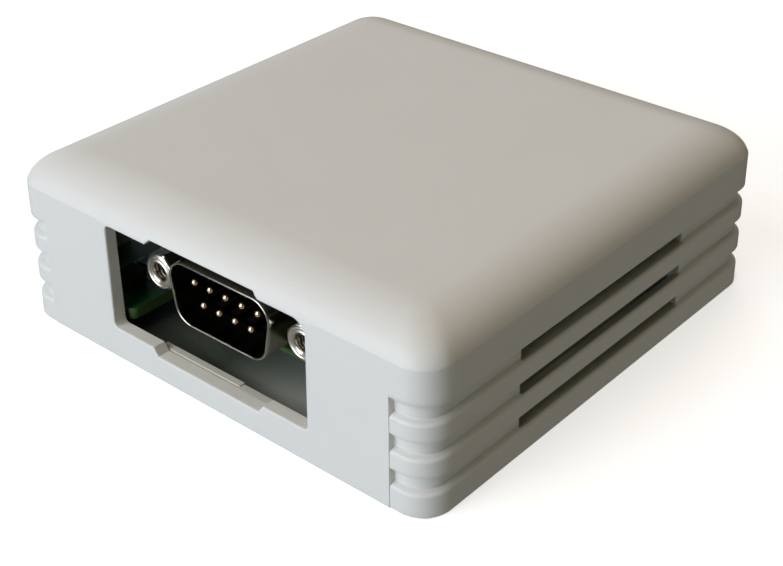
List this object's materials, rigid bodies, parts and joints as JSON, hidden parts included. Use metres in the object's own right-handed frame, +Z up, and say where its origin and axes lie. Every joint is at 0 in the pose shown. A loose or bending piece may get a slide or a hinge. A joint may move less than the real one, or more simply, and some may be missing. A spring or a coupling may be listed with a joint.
{
  "type": "room temperature sensor",
  "caption": "Small square moulded case with a rounded top and vented, ribbed sides; a serial plug shows in its front window.",
  "frame": {"origin": "middle of the underside, on the surface that it stands on", "axes": "+Z up; the plug's window faces -Y and the vented sides face +X and -X"},
  "size_m": [0.0706, 0.071, 0.024],
  "materials": {
    "case": "fine matt moulded texture",
    "board": "green solder mask over glass-fibre board",
    "zinc_steel": "zinc plated",
    "nickel": "bright nickel plate",
    "brass_plated": "tinned brass",
    "gold": "gold flash",
    "black_moulding": "satin black",
    "tinned": "tin plated",
    "ceramic": "fired ceramic",
    "can": "drawn aluminium",
    "seal_rubber": "matt"
  },
  "bodies": {
    "base": {"base_plate": "case", "circuit_board": "board", "board_screws": "zinc_steel", "connector_shell": "nickel", "connector_rear_plate": "nickel", "connector_insulator": "black_moulding", "connector_pins": "gold", "jack_screws": "nickel", "jack_washers": "nickel", "jack_nuts": "nickel", "connector_brackets": "nickel", "board_locks": "brass_plated", "microcontroller": "black_moulding", "microcontroller_leads": "tinned", "line_driver": "black_moulding", "line_driver_leads": "tinned", "ceramic_capacitors": "ceramic", "chip_resistors": "black_moulding", "chip_end_caps": "tinned", "diodes": "black_moulding", "diode_leads": "tinned", "electrolytic_capacitors": "can", "capacitor_seals": "seal_rubber", "crystal_can": "tinned", "crystal_base": "tinned", "voltage_regulator": "black_moulding", "regulator_leads": "tinned", "sensing_element": "black_moulding", "element_leads": "tinned"},
    "cover": {"cover": "case"}
  },
  "joints": [
    {"name": "cover_lift", "type": "slide", "parent": "base", "child": "cover", "axis": [0, 0, 1], "range_m": [0, 0.03]}
  ]
}
